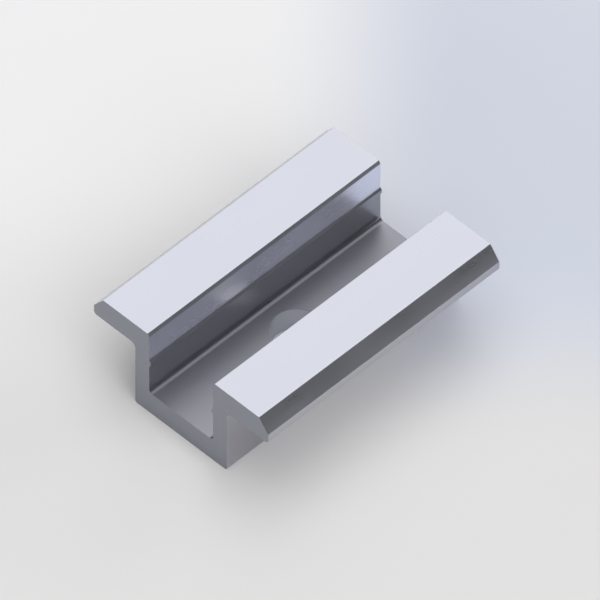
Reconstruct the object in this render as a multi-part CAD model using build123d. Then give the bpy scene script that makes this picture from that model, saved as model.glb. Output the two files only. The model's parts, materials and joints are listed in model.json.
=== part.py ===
from build123d import *

import os

# Mid clamp for photovoltaic modules: one length of extruded aluminium, drilled once for its bolt.
#
# The section is a hat: a square channel that stands between two module frames, with a wing on each
# side that bears down on them.  A screw head sits in the channel and its shank passes through the
# floor.  Frame: X across the wings, Y along the extrusion, Z up, with the origin in the middle of
# the clamp's underside.  Sizes are in millimetres.

# --- length of profile and heights ---
CLAMP_LENGTH = 50.0
CLAMP_HEIGHT = 17.8
FLOOR_THICKNESS = 4.5
WING_THICKNESS = 4.5

# --- widths across the section ---
CHANNEL_WIDTH = 13.8  # inside, for the head of a cap screw
WALL_THICKNESS = 3.0
WING_REACH = 8.95  # from the channel's side to the tip of the wing

# --- bevelled tip of each wing ---
TIP_BEVEL_RUN = 2.0
TIP_BEVEL_DROP = 2.6

# --- flat-topped ridge along the inside of each wall, with 45 degree flanks ---
RIDGE_DEPTH_BELOW_TOP = 6.65  # to the middle of the ridge
RIDGE_HEIGHT = 1.3
RIDGE_PROJECTION = 0.3

# --- edges of the die ---
MOUTH_CHAMFER_RUN = 0.35
MOUTH_CHAMFER_DROP = 0.5
CHANNEL_CORNER_RADIUS = 0.8
WING_ROOT_RADIUS = 1.0
FOOT_RADIUS = 0.5
TIP_UNDER_RADIUS = 0.6
TIP_NOSE_RADIUS = 0.4

# --- bolt ---
BOLT_DIAMETER = 8.0
BOLT_HOLE_CLEARANCE = 0.5  # on the diameter


def half_outline():
    """Section of the +X half as a closed chain of corners, from the middle of the underside."""
    inside = CHANNEL_WIDTH / 2
    channel_side = inside + WALL_THICKNESS
    tip = channel_side + WING_REACH
    wing_under = CLAMP_HEIGHT - WING_THICKNESS
    crest = inside - RIDGE_PROJECTION
    ridge_top = CLAMP_HEIGHT - RIDGE_DEPTH_BELOW_TOP + RIDGE_HEIGHT / 2
    ridge_foot = ridge_top - RIDGE_HEIGHT
    return {
        "underside middle": (0, 0),
        "foot": (channel_side, 0),
        "wing root": (channel_side, wing_under),
        "tip under": (tip, wing_under),
        "tip nose": (tip, CLAMP_HEIGHT - TIP_BEVEL_DROP),
        "tip top": (tip - TIP_BEVEL_RUN, CLAMP_HEIGHT),
        "mouth top": (inside + MOUTH_CHAMFER_RUN, CLAMP_HEIGHT),
        "mouth side": (inside, CLAMP_HEIGHT - MOUTH_CHAMFER_DROP),
        "ridge top": (inside, ridge_top),
        "crest top": (crest, ridge_top - RIDGE_PROJECTION),
        "crest foot": (crest, ridge_foot + RIDGE_PROJECTION),
        "ridge foot": (inside, ridge_foot),
        "channel corner": (inside, FLOOR_THICKNESS),
        "floor middle": (0, FLOOR_THICKNESS),
    }


def rounded(section, corner, radius):
    """The section with the vertex at one named corner rounded off."""
    vertex = section.vertices().sort_by_distance(Vector(*corner))[0]
    return fillet([vertex], radius)


def hat_section():
    """The whole section on the XZ plane, both halves joined, with the die's rounded corners."""
    corners = half_outline()
    radii = {
        "foot": FOOT_RADIUS,
        "wing root": WING_ROOT_RADIUS,
        "tip under": TIP_UNDER_RADIUS,
        "tip nose": TIP_NOSE_RADIUS,
        "channel corner": CHANNEL_CORNER_RADIUS,
    }
    half = Polygon(*corners.values(), align=None)
    for name, radius in radii.items():
        half = rounded(half, corners[name], radius)
    return Plane.XZ * (half + mirror(half, about=Plane.YZ))


def clamp_body():
    """The section run out to length and drilled through the middle of the channel's floor."""
    profile = extrude(hat_section(), CLAMP_LENGTH / 2, both=True)
    bolt_hole = Cylinder(
        (BOLT_DIAMETER + BOLT_HOLE_CLEARANCE) / 2,
        FLOOR_THICKNESS,
        align=(Align.CENTER, Align.CENTER, Align.MIN),
    )
    return profile - bolt_hole


os.makedirs("parts", exist_ok=True)
body = clamp_body()
body.label = "clamp_body"
export_step(body, "parts/clamp_body.step")
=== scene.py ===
"""Finish and studio for the mid clamp: bare aluminium with die lines, sawn ends and a drilled hole."""
import json
import math

import bpy
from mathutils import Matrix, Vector


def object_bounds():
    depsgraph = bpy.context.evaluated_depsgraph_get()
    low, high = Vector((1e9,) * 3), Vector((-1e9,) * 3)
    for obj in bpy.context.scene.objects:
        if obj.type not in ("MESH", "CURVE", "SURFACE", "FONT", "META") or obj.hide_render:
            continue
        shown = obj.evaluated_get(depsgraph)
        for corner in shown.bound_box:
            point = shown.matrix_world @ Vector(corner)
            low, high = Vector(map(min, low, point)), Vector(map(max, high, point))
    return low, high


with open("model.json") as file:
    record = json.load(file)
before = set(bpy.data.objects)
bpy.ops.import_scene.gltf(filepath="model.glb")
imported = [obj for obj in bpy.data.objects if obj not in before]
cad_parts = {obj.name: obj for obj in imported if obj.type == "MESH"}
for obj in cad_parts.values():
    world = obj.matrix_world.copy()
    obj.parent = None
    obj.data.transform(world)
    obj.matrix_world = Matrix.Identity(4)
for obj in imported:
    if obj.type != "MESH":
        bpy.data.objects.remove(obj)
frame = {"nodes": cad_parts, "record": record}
CAD_LOW, CAD_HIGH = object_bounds()

bl_info = {
    "name": "Mid Clamp Finish",
    "version": (1, 0, 0),
    "blender": (4, 5, 0),
    "location": "View3D > Sidebar > Mid Clamp",
    "description": "Gives an extruded mid clamp its aluminium finish and lights it in a small studio",
    "category": "Material",
}

BODY_NODE = "clamp_body"

# heights on the section at which the finish and its painted shade and reflection change, in metres
RIDGE_TOP = 0.0119         # just above the ridge on the channel's walls, from the underside
MOUTH_DEPTH = 0.0006       # from the top down past the chamfer at the channel's mouth
CORNER_RISE = 0.0009       # from the channel's floor up past its rounded corners

# how softly one finish gives way to the next, as half the width of the step, in metres
FINE_EDGE = 0.00005
SOFT_EDGE = 0.0001
RIDGE_EDGE = 0.0002
CORNER_EDGE = 0.0003

# how squarely a face looks along an axis, as a cosine: the edge between two areas and its softness
END_FACING = (0.9, 0.05)
BORE_FACING = (0.5, 0.1)
SIDE_FACING = (0.85, 0.1)
FLOOR_FACING = (0.8, 0.15)
SLANT_FACING = (0.45, 0.15)
LEVEL_FACING = (0.985, 0.01)

# how far marks are drawn out along X, Y and Z, as multiples of their pitch
EVEN = (1, 1, 1)
DIE_STRETCH = (1, 120, 1)
BAND_STRETCH = (1, 60, 1)
BLOOM_STRETCH = (1, 2.5, 1)
RING_STRETCH = (40, 40, 1)

BAND_LINES = 9             # die lines in the width of one broad band
BAND_RISE = 3              # height of a band in die lines' heights
BLOOM_SIZE = 0.006         # size of the cloudy patches in the metal's shade, in metres
BLOOM_SHARE = 0.4          # how much of the unevenness is such patches, the rest being bands
SAWN_SPREAD = 0.12         # range of the roughness on the sawn ends
NOISE_RANGE = (0.3, 0.7)   # where nearly all of a noise's values lie

# the floor, and where its tints begin and end along their directions, in metres
FLOOR_REACH = 2.0
FLOOR_GAP = 0.00002        # below the clamp, so that the two faces don't fight
# the floor towards the camera is darker and warmer: partly its own tint, partly painted shadow of the
# clamp
FRONT_SHADE_TINT = (-0.010, 0.038)
COOL_TINT_RIGHT = (-0.006, 0.026)
COOL_TINT_AWAY = (-0.022, 0.018)
FAR_TINT = (0.045, 0.200)
FAR_TINT_MIDDLE = (-0.006, 0.006, 0)

CAMERA_DISTANCE = 0.3
VIEW_SHIFT = Vector((0.000497, 0.001625, 0))   # of the view's middle from the clamp's, right and up
HORIZON_EDGE = 0.01        # half the width of the step at the horizon, as a share of the dome's radius

LIGHTS = (
    # azimuth from +X, elevation, inner and outer angle, all in degrees, and strength
    (0, 90, 5, 42, 1.7),       # overhead
    (135, 49, 6, 28, 1.12),    # behind the clamp, for the tops of the wings
    (345, 36, 8, 34, 2.1),     # to the right of the camera
    (78, 26, 5, 23, 1.2),      # low at the back right
    (225, 50, 10, 30, 0.2),    # a faint one at the left
    (295, 26, 8, 30, 0.9),     # low, to the left of the camera
)


# ---------------------------------------------------------------- what the record says

def mount(name):
    """The record's entry for one of the clamp's mounts."""
    for entry in frame["record"]["mounts"]:
        if entry["name"] == name:
            return entry
    raise RuntimeError(f"the record has no mount named {name}")


def bolt_hole():
    """(radius, depth) of the clearance hole, in metres; its axis is the frame's own Z axis."""
    dims = mount("bolt_hole")["dims"]
    return dims["r_mm"] / 1000, dims["length_mm"] / 1000


def wall_middle():
    """Distance from the middle of the clamp to a plane within the channel's walls, in metres."""
    outer_side = mount("module_stop_plus_x")["pos_m"][0]
    for opening in frame["record"]["physics"]["openings"]:
        if opening["name"] == "screw_channel":
            return (outer_side + opening["box_m"][1][0]) / 2
    raise RuntimeError("the record has no opening named screw_channel")


# ---------------------------------------------------------------- settings

class ClampFinishSettings(bpy.types.PropertyGroup):
    """The metal's colour with its painted shade and reflection, and the marks that the die, the saw and
    the drill leave on it.
    """

    metal_color: bpy.props.FloatVectorProperty(
        name="Metal colour", description="Colour of the bare aluminium", subtype="COLOR",
        size=3, min=0, max=1, default=(0.580, 0.598, 0.655),
    )
    # the sawn ends' colour is darkened as painted shade
    sawn_shade_color: bpy.props.FloatVectorProperty(
        name="Sawn shade colour", description="Colour of the sawn ends", subtype="COLOR",
        size=3, min=0, max=1, default=(0.330, 0.342, 0.390),
    )
    # painted reflection: the channel's walls above the ridge get a brighter, bluer colour that stands
    # in for the light they reflect
    mouth_reflection_color: bpy.props.FloatVectorProperty(
        name="Mouth reflection colour", description="Colour of the channel's walls above the ridge",
        subtype="COLOR", size=3, min=0, max=1, default=(0.85, 0.865, 0.96),
    )
    # painted shade: the channel below the ridge gets a darker colour that stands in for the shade in
    # its recess
    channel_color: bpy.props.FloatVectorProperty(
        name="Channel shade colour", description="Colour of the channel below the ridge", subtype="COLOR",
        size=3, min=0, max=1, default=(0.355, 0.362, 0.395),
    )
    # painted shade: the outer walls under the wings and the wings' outer edges get a darker colour
    side_shade_color: bpy.props.FloatVectorProperty(
        name="Side shade colour", description="Colour of the outer walls and of the wings' outer edges",
        subtype="COLOR", size=3, min=0, max=1, default=(0.475, 0.475, 0.515),
    )
    # painted shade in the channel's two lower corners
    corner_shade: bpy.props.FloatProperty(
        name="Corner shade", description="How much darker the channel's two lower corners are",
        default=0.12, min=0, max=1, subtype="FACTOR",
    )
    channel_roughness: bpy.props.FloatProperty(
        name="Channel roughness", description="Roughness of the channel's floor",
        default=0.45, min=0, max=1, subtype="FACTOR",
    )
    die_roughness: bpy.props.FloatProperty(
        name="Extruded roughness", description="Roughness of the faces that the die forms",
        default=0.30, min=0, max=1, subtype="FACTOR",
    )
    sawn_roughness: bpy.props.FloatProperty(
        name="Sawn roughness", description="Roughness of the two sawn ends",
        default=0.5, min=0, max=1, subtype="FACTOR",
    )
    bore_roughness: bpy.props.FloatProperty(
        name="Bore roughness", description="Roughness of the drilled hole",
        default=0.34, min=0, max=1, subtype="FACTOR",
    )
    die_line_pitch: bpy.props.FloatProperty(
        name="Die line pitch", description="Typical distance between two die lines",
        default=0.0006, min=0.00005, max=0.005, unit="LENGTH", precision=5,
    )
    die_line_height: bpy.props.FloatProperty(
        name="Die line height", description="Height of the die lines",
        default=0.0000004, min=0, max=0.0001, unit="LENGTH", precision=6,
    )
    saw_line_pitch: bpy.props.FloatProperty(
        name="Saw line pitch", description="Distance between two marks of the saw blade",
        default=0.0006, min=0.00005, max=0.005, unit="LENGTH", precision=5,
    )
    saw_line_height: bpy.props.FloatProperty(
        name="Saw line height", description="Height of the marks of the saw blade",
        default=0.000009, min=0, max=0.0001, unit="LENGTH", precision=6,
    )
    saw_centre: bpy.props.FloatVectorProperty(
        name="Saw centre", description="Centre of the saw blade as it cut the ends",
        size=3, default=(0.06, 0.0, -0.13), subtype="TRANSLATION",
    )
    ring_pitch: bpy.props.FloatProperty(
        name="Ring pitch", description="Distance between two feed rings of the drill",
        default=0.00025, min=0.00005, max=0.005, unit="LENGTH", precision=5,
    )
    ring_height: bpy.props.FloatProperty(
        name="Ring height", description="Height of the drill's feed rings",
        default=0.000005, min=0, max=0.0001, unit="LENGTH", precision=6,
    )
    grain_size: bpy.props.FloatProperty(
        name="Grain size", description="Size of the fine grain of the sawn ends",
        default=0.00012, min=0.00002, max=0.005, unit="LENGTH", precision=5,
    )
    grain_height: bpy.props.FloatProperty(
        name="Grain height", description="Height of the fine grain of the sawn ends",
        default=0.0000005, min=0, max=0.0001, unit="LENGTH", precision=6,
    )
    roughness_spread: bpy.props.FloatProperty(
        name="Roughness spread", description="How far the roughness strays from its middle",
        default=0.05, min=0, max=0.5, subtype="FACTOR",
    )
    color_spread: bpy.props.FloatProperty(
        name="Colour spread", description="How far the metal's shade strays, as a share",
        default=0.08, min=0, max=0.5, subtype="FACTOR",
    )


class ClampStageSettings(bpy.types.PropertyGroup):
    """The floor, the light and the camera."""

    floor_color: bpy.props.FloatVectorProperty(
        name="Floor colour", description="Colour of the plain floor", subtype="COLOR",
        size=3, min=0, max=1, default=(0.97, 0.97, 0.965),
    )
    # partly the floor's warmer tint, partly painted shadow of the clamp
    front_shade_color: bpy.props.FloatVectorProperty(
        name="Front floor shade colour", description="Colour of the floor towards the camera",
        subtype="COLOR", size=3, min=0, max=1, default=(0.84, 0.83, 0.815),
    )
    cool_color: bpy.props.FloatVectorProperty(
        name="Cool floor colour", description="Colour of the floor to the back right",
        subtype="COLOR", size=3, min=0, max=1, default=(0.70, 0.735, 0.825),
    )
    far_color: bpy.props.FloatVectorProperty(
        name="Far floor colour", description="Colour of the floor away from the clamp",
        subtype="COLOR", size=3, min=0, max=1, default=(0.98, 0.98, 0.98),
    )
    light_color: bpy.props.FloatVectorProperty(
        name="Light colour", description="Colour of the soft light", subtype="COLOR",
        size=3, min=0, max=1, default=(0.985, 0.985, 1.0),
    )
    ambient: bpy.props.FloatProperty(
        name="Ambient", description="Level of the light that comes from all sides",
        default=0.075, min=0, max=2,
    )
    below: bpy.props.FloatProperty(
        name="Below",
        description="Level of the dome below the horizon, which the floor hides from the clamp",
        default=0.84, min=0, max=2,
    )
    azimuth: bpy.props.FloatProperty(
        name="Azimuth", description="Direction of the camera about the clamp",
        default=math.radians(45), subtype="ANGLE",
    )
    elevation: bpy.props.FloatProperty(
        name="Elevation", description="Height of the camera above the horizon",
        default=math.radians(48.6), subtype="ANGLE",
    )
    field: bpy.props.FloatProperty(
        name="Field", description="Width of the view",
        default=0.09174, min=0.01, unit="LENGTH", precision=4,
    )


# ---------------------------------------------------------------- node helpers

def fresh_material(name):
    """(material, node tree, its Principled BSDF) with only that shader and the output in it."""
    material = bpy.data.materials.new(name)
    material.use_nodes = True
    tree = material.node_tree
    return material, tree, tree.nodes["Principled BSDF"]


def put(tree, kind, **settings):
    """A new node, with attributes set."""
    node = tree.nodes.new(kind)
    for name, value in settings.items():
        setattr(node, name, value)
    return node


def feed(tree, socket, value):
    """Links an output to a socket, or sets the socket's own value."""
    if isinstance(value, bpy.types.NodeSocket):
        tree.links.new(value, socket)
    else:
        socket.default_value = value


def math_node(tree, operation, *values):
    """The result of a Math node that is fed with outputs or numbers."""
    node = put(tree, "ShaderNodeMath", operation=operation)
    for socket, value in zip(node.inputs, values):
        feed(tree, socket, value)
    return node.outputs["Value"]


def product(tree, first, *others):
    """The values multiplied together; of masks, the area that they share."""
    for other in others:
        first = math_node(tree, "MULTIPLY", first, other)
    return first


def outside(tree, mask):
    """The mask turned inside out."""
    return math_node(tree, "SUBTRACT", 1.0, mask)


def unsigned(tree, value):
    """The value without its sign, which treats both sides of the clamp alike."""
    return math_node(tree, "ABSOLUTE", value)


def around(tree, marks, middle, spread):
    """Values about a middle, to which marks from 0 to 1 give the whole spread."""
    return math_node(tree, "MULTIPLY_ADD", marks, spread, middle - spread / 2)


def vector_node(tree, operation, *vectors, result="Vector"):
    """The result of a Vector Math node that is fed with outputs or plain vectors."""
    node = put(tree, "ShaderNodeVectorMath", operation=operation)
    for socket, vector in zip(node.inputs, vectors):
        feed(tree, socket, vector)
    return node.outputs[result]


def measure(tree, operation, *vectors):
    """A number taken from vectors, such as their distance."""
    return vector_node(tree, operation, *vectors, result="Value")


def scaled(tree, vector, factor):
    """The vector, or the colour, times a factor."""
    node = put(tree, "ShaderNodeVectorMath", operation="SCALE")
    feed(tree, node.inputs["Vector"], vector)
    feed(tree, node.inputs["Scale"], factor)
    return node.outputs["Vector"]


def split(tree, vector):
    """The outputs X, Y and Z of a vector."""
    node = put(tree, "ShaderNodeSeparateXYZ")
    feed(tree, node.inputs["Vector"], vector)
    return node.outputs


def rise(tree, value, start, end):
    """0 up to the start, 1 from the end on, and a soft rise between them."""
    step = put(tree, "ShaderNodeMapRange", interpolation_type="SMOOTHSTEP")
    feed(tree, step.inputs["Value"], value)
    step.inputs["From Min"].default_value = start
    step.inputs["From Max"].default_value = end
    return step.outputs["Result"]


def past(tree, value, edge, softness):
    """0 before the edge and 1 past it, with a step of twice the softness between."""
    return rise(tree, value, edge - softness, edge + softness)


def blend_value(tree, factor, low, high):
    """A number that goes from low to high as the factor goes from 0 to 1."""
    node = put(tree, "ShaderNodeMix", data_type="FLOAT")
    for number, value in ((0, factor), (2, low), (3, high)):
        feed(tree, node.inputs[number], value)
    return node.outputs[0]


def blend_color(tree, factor, low, high):
    """A colour that goes from low to high as the factor goes from 0 to 1."""
    node = put(tree, "ShaderNodeMix", data_type="RGBA")
    for number, value in ((0, factor), (6, low), (7, high)):
        feed(tree, node.inputs[number], value)
    return node.outputs[2]


def opaque(color):
    """The colour with an alpha of 1."""
    return (*color, 1)


# ---------------------------------------------------------------- metal

def marks_along(tree, place, pitch, stretch, detail=1.0):
    """Noise from 0 to 1 on the place, with one pitch that each axis draws out by its own stretch."""
    noise = put(tree, "ShaderNodeTexNoise")
    feed(tree, noise.inputs["Vector"], vector_node(
        tree, "MULTIPLY", place, [1 / (pitch * length) for length in stretch]))
    noise.inputs["Scale"].default_value = 1.0
    noise.inputs["Detail"].default_value = detail
    noise.inputs["Roughness"].default_value = 0.6
    return noise.outputs["Fac"]


def saw_marks(tree, place, settings):
    """Shallow arcs of the saw blade on the ends, whose centre lies below and beside the clamp."""
    centred = vector_node(tree, "SUBTRACT", place, settings.saw_centre)
    flat = vector_node(tree, "MULTIPLY", centred, (1, 0, 1))
    arc = put(tree, "ShaderNodeCombineXYZ")
    feed(tree, arc.inputs["X"], measure(tree, "LENGTH", flat))
    return marks_along(tree, arc.outputs["Vector"], settings.saw_line_pitch, EVEN, detail=3.0)


def find_areas(tree, place, normal):
    """Masks, 1 inside and 0 outside, of the areas that differ in finish or in painted shade and
    reflection.
    """
    spot, facing = split(tree, place), split(tree, normal)
    radius, depth = bolt_hole()
    past_walls = past(tree, unsigned(tree, spot["X"]), wall_middle(), SOFT_EDGE)
    from_axis = measure(tree, "LENGTH", vector_node(tree, "MULTIPLY", place, (1, 1, 0)))
    channel = product(
        tree,
        outside(tree, past_walls),
        past(tree, spot["Z"], depth - SOFT_EDGE, FINE_EDGE),
        outside(tree, past(tree, spot["Z"], CAD_HIGH.z - MOUTH_DEPTH, SOFT_EDGE)),
    )
    over_ridge = past(tree, spot["Z"], RIDGE_TOP, RIDGE_EDGE)
    return {
        "sawn": product(
            tree,
            past(tree, unsigned(tree, facing["Y"]), *END_FACING),
            past(tree, unsigned(tree, spot["Y"]), CAD_HIGH.y - SOFT_EDGE, FINE_EDGE),
        ),
        "drilled": product(
            tree,
            outside(tree, past(tree, from_axis, radius + FINE_EDGE, FINE_EDGE)),
            outside(tree, past(tree, unsigned(tree, facing["Z"]), *BORE_FACING)),
        ),
        "outer side": product(tree, past_walls, past(tree, unsigned(tree, facing["X"]), *SIDE_FACING)),
        "mouth": product(tree, channel, over_ridge),
        "lower channel": product(tree, channel, outside(tree, over_ridge)),
        "channel floor": product(tree, channel, past(tree, facing["Z"], *FLOOR_FACING)),
        "lower corners": product(
            tree,
            channel,
            past(tree, facing["Z"], *SLANT_FACING),
            outside(tree, past(tree, facing["Z"], *LEVEL_FACING)),
            outside(tree, past(tree, spot["Z"], depth + CORNER_RISE, CORNER_EDGE)),
        ),
    }


def raise_marks(tree, place, bands, saw, areas, settings):
    """The normal that the marks of the die, the saw and the drill give the surface."""
    die = marks_along(tree, place, settings.die_line_pitch, DIE_STRETCH)
    grain = marks_along(tree, place, settings.grain_size, EVEN)
    rings = marks_along(tree, place, settings.ring_pitch, RING_STRETCH)
    height = math_node(tree, "MULTIPLY_ADD", bands, settings.die_line_height * BAND_RISE,
                       product(tree, die, settings.die_line_height))
    sawn_height = math_node(tree, "MULTIPLY_ADD", saw, settings.saw_line_height,
                            product(tree, grain, settings.grain_height))
    height = blend_value(tree, areas["sawn"], height, sawn_height)
    height = blend_value(tree, areas["drilled"], height, product(tree, rings, settings.ring_height))
    bump = put(tree, "ShaderNodeBump")
    feed(tree, bump.inputs["Height"], height)
    bump.inputs["Distance"].default_value = 1.0
    bump.inputs["Filter Width"].default_value = 0.3
    return bump.outputs["Normal"]


def choose_roughness(tree, uneven, saw, areas, settings):
    """Roughness of the extruded faces, the duller channel floor, the sawn ends and the hole."""
    extruded = put(tree, "ShaderNodeMapRange")
    feed(tree, extruded.inputs["Value"], uneven)
    extruded.inputs["From Min"].default_value, extruded.inputs["From Max"].default_value = NOISE_RANGE
    extruded.inputs["To Min"].default_value = settings.die_roughness - settings.roughness_spread
    extruded.inputs["To Max"].default_value = settings.die_roughness + settings.roughness_spread
    duller = settings.channel_roughness - settings.die_roughness
    roughness = math_node(
        tree, "MULTIPLY_ADD", areas["channel floor"], duller, extruded.outputs["Result"])
    sawn = around(tree, saw, settings.sawn_roughness, SAWN_SPREAD)
    roughness = blend_value(tree, areas["sawn"], roughness, sawn)
    return blend_value(tree, areas["drilled"], roughness, settings.bore_roughness)


def choose_color(tree, uneven, saw, areas, settings):
    """Colour of each area, made uneven by the marks, with painted shade in the channel below the ridge,
    on the outer walls, on the sawn ends and, darker still, in the channel's lower corners, and painted
    reflection on the walls above the ridge.
    """
    # painted shade in the channel below the ridge
    color = blend_color(
        tree, areas["lower channel"], opaque(settings.metal_color), opaque(settings.channel_color))
    # painted reflection on the channel's walls above the ridge
    color = blend_color(tree, areas["mouth"], color, opaque(settings.mouth_reflection_color))
    # painted shade on the outer walls under the wings
    color = blend_color(tree, areas["outer side"], color, opaque(settings.side_shade_color))
    # painted shade that darkens the channel's lower corners
    corner_shading = math_node(tree, "MULTIPLY_ADD", areas["lower corners"], -settings.corner_shade, 1.0)
    extruded = scaled(tree, color, product(tree, around(tree, uneven, 1, settings.color_spread), corner_shading))
    # the sawn ends, darkened as painted shade and made uneven by the saw marks
    sawn = scaled(tree, settings.sawn_shade_color, around(tree, saw, 1, settings.color_spread * 2))
    return blend_color(tree, areas["sawn"], extruded, sawn)


def build_metal(settings):
    """Bare aluminium with die lines along its length, saw marks on its ends and rings in its hole."""
    material, tree, metal = fresh_material("extruded_aluminium")
    coordinates = put(tree, "ShaderNodeTexCoord")
    place = coordinates.outputs["Object"]
    areas = find_areas(tree, place, coordinates.outputs["Normal"])
    saw = saw_marks(tree, place, settings)
    bands = marks_along(tree, place, settings.die_line_pitch * BAND_LINES, BAND_STRETCH)
    bloom = marks_along(tree, place, BLOOM_SIZE, BLOOM_STRETCH, detail=3.0)
    uneven = blend_value(tree, BLOOM_SHARE, bands, bloom)
    feed(tree, metal.inputs["Base Color"], choose_color(tree, uneven, saw, areas, settings))
    feed(tree, metal.inputs["Roughness"], choose_roughness(tree, uneven, saw, areas, settings))
    feed(tree, metal.inputs["Normal"], raise_marks(tree, place, bands, saw, areas, settings))
    metal.inputs["Metallic"].default_value = 1.0
    return material


class MIDCLAMP_OT_finish_body(bpy.types.Operator):
    """Gives the extruded body its aluminium finish"""

    bl_idname = "midclamp.finish_body"
    bl_label = "Finish Clamp Body"
    bl_options = {"REGISTER", "UNDO"}

    def execute(self, context):
        body = frame["nodes"].get(BODY_NODE)
        if body is None:
            raise RuntimeError(f"the frame has no node named {BODY_NODE}")
        body.data.materials.clear()
        body.data.materials.append(build_metal(context.scene.midclamp_finish))
        return {"FINISHED"}


# ---------------------------------------------------------------- stage

def direction_to(azimuth, elevation):
    """Unit vector towards an azimuth from +X and an elevation, in radians."""
    return Vector((
        math.cos(azimuth) * math.cos(elevation),
        math.sin(azimuth) * math.cos(elevation),
        math.sin(elevation),
    ))


def build_floor(settings):
    """A plain pale floor, a little cooler to the back right and a little darker to the front, partly as
    painted shadow of the clamp.
    """
    reach = FLOOR_REACH
    mesh = bpy.data.meshes.new("floor")
    corners = [(-reach, -reach, 0), (reach, -reach, 0), (reach, reach, 0), (-reach, reach, 0)]
    mesh.from_pydata(corners, [], [(0, 1, 2, 3)])
    floor = bpy.data.objects.new("floor", mesh)
    bpy.context.scene.collection.objects.link(floor)
    floor.location.z = CAD_LOW.z - FLOOR_GAP
    material, tree, paint = fresh_material("floor_paint")
    place = put(tree, "ShaderNodeTexCoord").outputs["Object"]
    right = measure(tree, "DOT_PRODUCT", place, direction_to(settings.azimuth, 0))
    away = measure(tree, "DOT_PRODUCT", place, direction_to(settings.azimuth + math.pi / 2, 0))
    distance = measure(tree, "DISTANCE", place, FAR_TINT_MIDDLE)
    cool = product(tree, rise(tree, right, *COOL_TINT_RIGHT), rise(tree, away, *COOL_TINT_AWAY))
    color = blend_color(
        tree, rise(tree, away, *FRONT_SHADE_TINT), opaque(settings.front_shade_color), opaque(settings.floor_color))
    color = blend_color(tree, cool, color, opaque(settings.cool_color))
    color = blend_color(tree, rise(tree, distance, *FAR_TINT), color, opaque(settings.far_color))
    feed(tree, paint.inputs["Base Color"], color)
    paint.inputs["Roughness"].default_value = 0.9
    paint.inputs["Specular IOR Level"].default_value = 0.0
    mesh.materials.append(material)


def glow(tree, direction, azimuth, elevation, inner, outer):
    """Mask of a soft round light in the dome, from its full inner angle out to where it ends."""
    axis = direction_to(math.radians(azimuth), math.radians(elevation))
    toward = measure(tree, "DOT_PRODUCT", direction, axis)
    return rise(tree, toward, math.cos(math.radians(outer)), math.cos(math.radians(inner)))


def build_world(settings):
    """A dome with an even level, soft round lights on it, and its own level below the horizon."""
    world = bpy.data.worlds.new("studio")
    bpy.context.scene.world = world
    world.use_nodes = True
    tree = world.node_tree
    background = tree.nodes["Background"]
    direction = put(tree, "ShaderNodeTexCoord").outputs["Generated"]
    level = settings.ambient
    for *shape, strength in LIGHTS:
        level = math_node(tree, "MULTIPLY_ADD", glow(tree, direction, *shape), strength, level)
    above = past(tree, split(tree, direction)["Z"], 0, HORIZON_EDGE)
    feed(tree, background.inputs["Strength"], blend_value(tree, above, settings.below, level))
    background.inputs["Color"].default_value = opaque(settings.light_color)


def build_camera(settings):
    """A camera without perspective that looks at the clamp from the front right."""
    back = direction_to(settings.azimuth - math.pi / 2, settings.elevation)
    turn = (-back).to_track_quat("-Z", "Y")
    data = bpy.data.cameras.new("camera")
    data.type = "ORTHO"
    data.ortho_scale = settings.field
    camera = bpy.data.objects.new("camera", data)
    bpy.context.scene.collection.objects.link(camera)
    camera.rotation_mode = "QUATERNION"
    camera.rotation_quaternion = turn
    camera.location = (CAD_LOW + CAD_HIGH) / 2 + turn @ VIEW_SHIFT + back * CAMERA_DISTANCE
    bpy.context.scene.camera = camera


class MIDCLAMP_OT_build_stage(bpy.types.Operator):
    """Builds the floor, the light and the camera"""

    bl_idname = "midclamp.build_stage"
    bl_label = "Build Stage"
    bl_options = {"REGISTER", "UNDO"}

    def execute(self, context):
        settings = context.scene.midclamp_stage
        build_floor(settings)
        build_world(settings)
        build_camera(settings)
        context.scene.view_settings.view_transform = "Standard"
        return {"FINISHED"}


class MIDCLAMP_PT_panel(bpy.types.Panel):
    """Lists the clamp's pieces and its stage"""

    bl_idname = "MIDCLAMP_PT_panel"
    bl_label = "Mid Clamp"
    bl_space_type = "VIEW_3D"
    bl_region_type = "UI"
    bl_category = "Mid Clamp"

    def draw(self, context):
        for title, settings, operator in (
            ("Body", context.scene.midclamp_finish, "midclamp.finish_body"),
            ("Stage", context.scene.midclamp_stage, "midclamp.build_stage"),
        ):
            box = self.layout.box()
            box.label(text=title)
            for name in settings.__annotations__:
                box.prop(settings, name)
            box.operator(operator)


CLASSES = (
    ClampFinishSettings,
    ClampStageSettings,
    MIDCLAMP_OT_finish_body,
    MIDCLAMP_OT_build_stage,
    MIDCLAMP_PT_panel,
)


def register():
    for cls in CLASSES:
        bpy.utils.register_class(cls)
    bpy.types.Scene.midclamp_finish = bpy.props.PointerProperty(type=ClampFinishSettings)
    bpy.types.Scene.midclamp_stage = bpy.props.PointerProperty(type=ClampStageSettings)


def unregister():
    del bpy.types.Scene.midclamp_stage
    del bpy.types.Scene.midclamp_finish
    for cls in reversed(CLASSES):
        bpy.utils.unregister_class(cls)


def main():
    """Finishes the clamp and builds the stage."""
    register()
    bpy.ops.midclamp.finish_body()
    bpy.ops.midclamp.build_stage()


if __name__ == "__main__":
    main()
